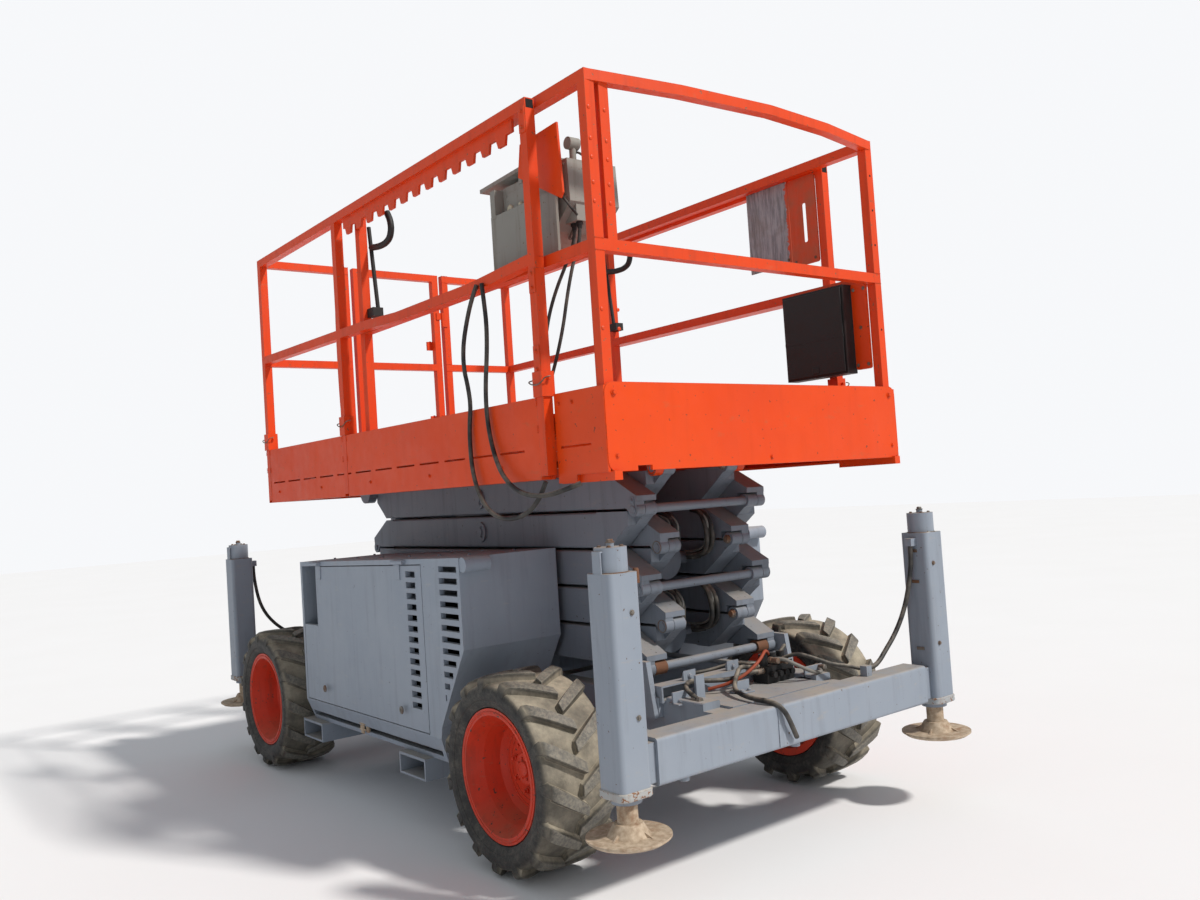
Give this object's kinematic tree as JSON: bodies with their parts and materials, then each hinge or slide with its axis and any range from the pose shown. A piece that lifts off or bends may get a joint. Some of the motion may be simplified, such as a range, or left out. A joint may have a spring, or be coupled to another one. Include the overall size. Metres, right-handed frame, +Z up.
{
  "type": "rough terrain scissor lift",
  "caption": "Four-wheeled scissor lift with a folded stack of crossed arms, a railed platform with a roll-out deck, side pods and four outriggers.",
  "frame": {"origin": "on the ground under the middle of the machine, midway between the axles and between the wheels", "axes": "+X towards the roll-out end, +Y to the left, +Z up"},
  "size_m": [3.569, 1.8318, 2.6243],
  "materials": {
    "chassis_grey": "satin",
    "deck_orange": "satin",
    "rim_orange": "satin",
    "tyre_rubber": "matte",
    "rusty_steel": "rough",
    "cylinder_chrome": "polished",
    "engine_iron": "rough",
    "dull_grey": "matte",
    "faded_grey": "matte",
    "black_plastic": "matte",
    "bush_bronze": "satin",
    "black_rubber": "matte"
  },
  "bodies": {
    "chassis": {"main_frame": "chassis_grey", "front_outrigger_frame": "chassis_grey", "rear_outrigger_frame": "chassis_grey", "front_axle": "chassis_grey", "rear_axle": "chassis_grey", "left_pod": "chassis_grey", "right_pod": "chassis_grey", "engine_block": "engine_iron", "front_valves": "black_plastic", "left_leg_hose": "black_rubber", "rear_leg_hose": "black_rubber"},
    "front_left_knuckle": {"front_left_knuckle": "chassis_grey"},
    "front_right_knuckle": {"front_right_knuckle": "chassis_grey"},
    "tie_rod": {"tie_rod": "chassis_grey"},
    "front_left_wheel": {"front_left_rim": "rim_orange", "front_left_tyre": "tyre_rubber"},
    "front_left_leg": {"front_left_leg": "rusty_steel"},
    "front_right_wheel": {"front_right_rim": "rim_orange", "front_right_tyre": "tyre_rubber"},
    "front_right_leg": {"front_right_leg": "rusty_steel"},
    "rear_left_wheel": {"rear_left_rim": "rim_orange", "rear_left_tyre": "tyre_rubber"},
    "rear_left_leg": {"rear_left_leg": "rusty_steel"},
    "rear_right_wheel": {"rear_right_rim": "rim_orange", "rear_right_tyre": "tyre_rubber"},
    "rear_right_leg": {"rear_right_leg": "rusty_steel"},
    "left_pod_door": {"left_pod_door": "chassis_grey"},
    "right_pod_door": {"right_pod_door": "chassis_grey"},
    "outer_arms_1": {"outer_arms_1": "chassis_grey", "pivot_bushes": "bush_bronze"},
    "inner_arms_1": {"inner_arms_1": "chassis_grey", "stack_hoses_1": "black_rubber"},
    "inner_arms_2": {"inner_arms_2": "chassis_grey"},
    "outer_arms_2": {"outer_arms_2": "chassis_grey"},
    "outer_arms_3": {"outer_arms_3": "chassis_grey"},
    "inner_arms_3": {"inner_arms_3": "chassis_grey", "stack_hoses_3": "black_rubber"},
    "inner_arms_4": {"inner_arms_4": "chassis_grey"},
    "outer_arms_4": {"outer_arms_4": "chassis_grey"},
    "outer_arms_5": {"outer_arms_5": "chassis_grey"},
    "inner_arms_5": {"inner_arms_5": "chassis_grey"},
    "deck": {"main_deck": "deck_orange", "guard_rails": "deck_orange", "sign_panels": "faded_grey", "rail_cable_long": "black_rubber", "rail_cable_short": "black_rubber"},
    "entry_gate": {"entry_gate": "deck_orange"},
    "rollout_deck": {"rollout_deck": "deck_orange", "rollout_rails": "deck_orange", "control_box": "dull_grey", "control_guard": "deck_orange", "manual_box": "black_plastic", "manual_plate": "deck_orange", "release_levers": "black_rubber", "box_cable_rear": "black_rubber", "box_cable_front": "black_rubber"},
    "lower_barrel": {"lower_cylinder_barrel": "chassis_grey"},
    "lower_rod": {"lower_cylinder_rod": "cylinder_chrome"},
    "upper_barrel": {"upper_cylinder_barrel": "chassis_grey"},
    "upper_rod": {"upper_cylinder_rod": "cylinder_chrome"}
  },
  "joints": [
    {"name": "steer_left", "type": "hinge", "parent": "chassis", "child": "front_left_knuckle", "pos_m": [1.0255, 0.6, 0.345], "axis": [0, 0, 1], "range_deg": [-25, 25]},
    {"name": "steer_right", "type": "hinge", "parent": "chassis", "child": "front_right_knuckle", "pos_m": [1.0255, -0.6, 0.345], "axis": [0, 0, 1], "range_deg": [-25, 25]},
    {"name": "tie_rod_pivot", "type": "hinge", "parent": "front_right_knuckle", "child": "tie_rod", "pos_m": [0.8855, -0.6, 0.29], "axis": [0, 0, 1], "range_deg": [-25, 25]},
    {"name": "front_left_wheel_spin", "type": "hinge", "parent": "front_left_knuckle", "child": "front_left_wheel", "pos_m": [1.0255, 0.716, 0.345], "axis": [0, 1, 0], "continuous": true},
    {"name": "front_left_leg_slide", "type": "slide", "parent": "chassis", "child": "front_left_leg", "axis": [0, 0, -1], "range_m": [0, 0.45]},
    {"name": "front_right_wheel_spin", "type": "hinge", "parent": "front_right_knuckle", "child": "front_right_wheel", "pos_m": [1.0255, -0.716, 0.345], "axis": [0, 1, 0], "continuous": true},
    {"name": "front_right_leg_slide", "type": "slide", "parent": "chassis", "child": "front_right_leg", "axis": [0, 0, -1], "range_m": [0, 0.45]},
    {"name": "rear_left_wheel_spin", "type": "hinge", "parent": "chassis", "child": "rear_left_wheel", "pos_m": [-1.1745, 0.716, 0.345], "axis": [0, 1, 0], "continuous": true},
    {"name": "rear_left_leg_slide", "type": "slide", "parent": "chassis", "child": "rear_left_leg", "axis": [0, 0, -1], "range_m": [0, 0.45]},
    {"name": "rear_right_wheel_spin", "type": "hinge", "parent": "chassis", "child": "rear_right_wheel", "pos_m": [-1.1745, -0.716, 0.345], "axis": [0, 1, 0], "continuous": true},
    {"name": "rear_right_leg_slide", "type": "slide", "parent": "chassis", "child": "rear_right_leg", "axis": [0, 0, -1], "range_m": [0, 0.45]},
    {"name": "left_pod_door_hinge", "type": "hinge", "parent": "chassis", "child": "left_pod_door", "pos_m": [-0.1245, 0.8095, 1.0494], "axis": [0.9997, 0, 0.0251], "range_deg": [0, 85]},
    {"name": "right_pod_door_hinge", "type": "hinge", "parent": "chassis", "child": "right_pod_door", "pos_m": [-0.1245, -0.8095, 1.0494], "axis": [-0.9997, 0, -0.0251], "range_deg": [0, 85]},
    {"name": "lift", "type": "hinge", "parent": "chassis", "child": "outer_arms_1", "pos_m": [1.2325, 0, 0.643], "axis": [0, 1, 0], "range_deg": [0, 54]},
    {"name": "inner_arms_1_fold", "type": "hinge", "parent": "outer_arms_1", "child": "inner_arms_1", "pos_m": [0.184, 0, 0.715], "axis": [0, 1, 0], "range_deg": [-108, 0]},
    {"name": "inner_arms_2_fold", "type": "hinge", "parent": "inner_arms_1", "child": "inner_arms_2", "pos_m": [1.2325, 0, 0.787], "axis": [0, 1, 0], "range_deg": [0, 108]},
    {"name": "outer_arms_2_fold", "type": "hinge", "parent": "inner_arms_2", "child": "outer_arms_2", "pos_m": [0.184, 0, 0.859], "axis": [0, 1, 0], "range_deg": [-108, 0]},
    {"name": "outer_arms_3_fold", "type": "hinge", "parent": "outer_arms_2", "child": "outer_arms_3", "pos_m": [1.2325, 0, 0.931], "axis": [0, 1, 0], "range_deg": [0, 108]},
    {"name": "inner_arms_3_fold", "type": "hinge", "parent": "outer_arms_3", "child": "inner_arms_3", "pos_m": [0.184, 0, 1.003], "axis": [0, 1, 0], "range_deg": [-108, 0]},
    {"name": "inner_arms_4_fold", "type": "hinge", "parent": "inner_arms_3", "child": "inner_arms_4", "pos_m": [1.2325, 0, 1.075], "axis": [0, 1, 0], "range_deg": [0, 108]},
    {"name": "outer_arms_4_fold", "type": "hinge", "parent": "inner_arms_4", "child": "outer_arms_4", "pos_m": [0.184, 0, 1.147], "axis": [0, 1, 0], "range_deg": [-108, 0]},
    {"name": "outer_arms_5_fold", "type": "hinge", "parent": "outer_arms_4", "child": "outer_arms_5", "pos_m": [1.2325, 0, 1.219], "axis": [0, 1, 0], "range_deg": [0, 108]},
    {"name": "inner_arms_5_fold", "type": "hinge", "parent": "outer_arms_5", "child": "inner_arms_5", "pos_m": [0.184, 0, 1.291], "axis": [0, 1, 0], "range_deg": [-108, 0]},
    {"name": "deck_level", "type": "hinge", "parent": "inner_arms_5", "child": "deck", "pos_m": [1.2325, 0, 1.363], "axis": [0, 1, 0], "range_deg": [0, 54]},
    {"name": "gate_hinge", "type": "hinge", "parent": "deck", "child": "entry_gate", "pos_m": [-1.1275, 0.289, 2.05], "axis": [0, 0, 1], "range_deg": [0, 90]},
    {"name": "rollout_slide", "type": "slide", "parent": "deck", "child": "rollout_deck", "axis": [1, 0, 0], "range_m": [0, 1.2]},
    {"name": "lower_barrel_pivot", "type": "hinge", "parent": "inner_arms_1", "child": "lower_barrel", "pos_m": [0.9755, 0, 0.715], "axis": [0, 1, 0], "range_deg": [0, 111.48]},
    {"name": "lower_rod_slide", "type": "slide", "parent": "lower_barrel", "child": "lower_rod", "axis": [-0.9939, 0, 0.1101], "range_m": [0, 0.4223]},
    {"name": "upper_barrel_pivot", "type": "hinge", "parent": "inner_arms_3", "child": "upper_barrel", "pos_m": [0.9755, 0, 1.003], "axis": [0, 1, 0], "range_deg": [0, 111.48]},
    {"name": "upper_rod_slide", "type": "slide", "parent": "upper_barrel", "child": "upper_rod", "axis": [-0.9939, 0, 0.1101], "range_m": [0, 0.4223]}
  ],
  "couplings": [
    {"joint": "steer_left", "follows": "steer_right", "ratio": 1},
    {"joint": "tie_rod_pivot", "follows": "steer_right", "ratio": -1},
    {"joint": "inner_arms_1_fold", "follows": "lift", "ratio": -2},
    {"joint": "inner_arms_2_fold", "follows": "lift", "ratio": 2},
    {"joint": "outer_arms_2_fold", "follows": "lift", "ratio": -2},
    {"joint": "outer_arms_3_fold", "follows": "lift", "ratio": 2},
    {"joint": "inner_arms_3_fold", "follows": "lift", "ratio": -2},
    {"joint": "inner_arms_4_fold", "follows": "lift", "ratio": 2},
    {"joint": "outer_arms_4_fold", "follows": "lift", "ratio": -2},
    {"joint": "outer_arms_5_fold", "follows": "lift", "ratio": 2},
    {"joint": "inner_arms_5_fold", "follows": "lift", "ratio": -2},
    {"joint": "deck_level", "follows": "lift", "ratio": 1},
    {"joint": "lower_barrel_pivot", "follows": "lift", "ratio": 2.0642},
    {"joint": "lower_rod_slide", "follows": "lift", "m_per_rad": 0.4479},
    {"joint": "upper_barrel_pivot", "follows": "lift", "ratio": 2.0642},
    {"joint": "upper_rod_slide", "follows": "lift", "m_per_rad": 0.4479}
  ]
}
